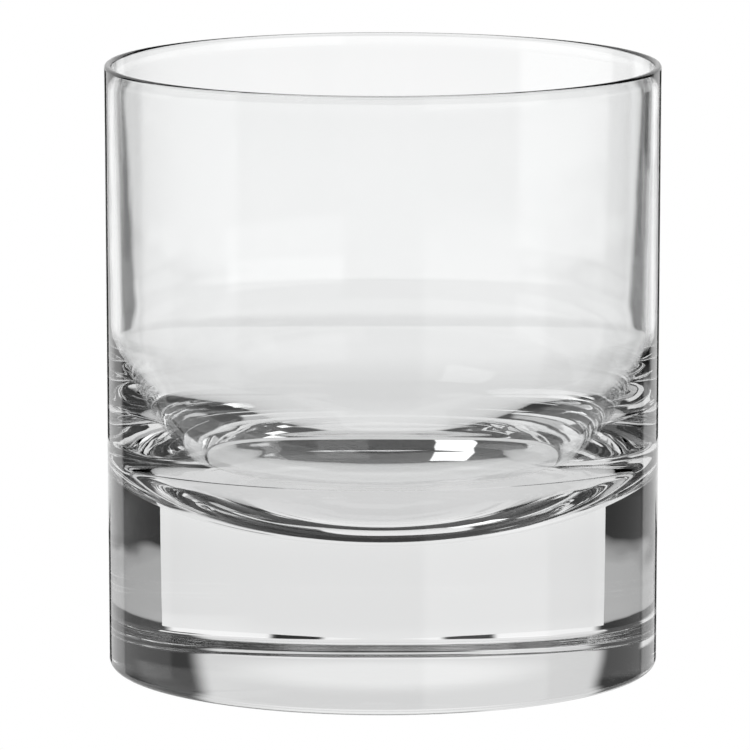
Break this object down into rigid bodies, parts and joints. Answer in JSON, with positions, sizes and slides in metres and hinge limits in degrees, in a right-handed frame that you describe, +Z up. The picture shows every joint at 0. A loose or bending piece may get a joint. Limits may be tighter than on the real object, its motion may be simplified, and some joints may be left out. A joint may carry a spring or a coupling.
{
  "type": "whiskey tumbler",
  "caption": "Straight-sided clear glass tumbler with a thin drinking wall, a rounded bowl-shaped cavity and a thick solid base.",
  "frame": {"origin": "centre of the resting foot, on the surface that the tumbler stands on", "axes": "+Z up along the axis of revolution, from the foot to the rim; X and Y are any two level directions, because the tumbler is round"},
  "size_m": [0.085, 0.085, 0.093],
  "materials": {
    "clear_glass": "fire-polished, clear and colourless"
  },
  "bodies": {
    "root": {"glass_body": "clear_glass"}
  },
  "joints": []
}
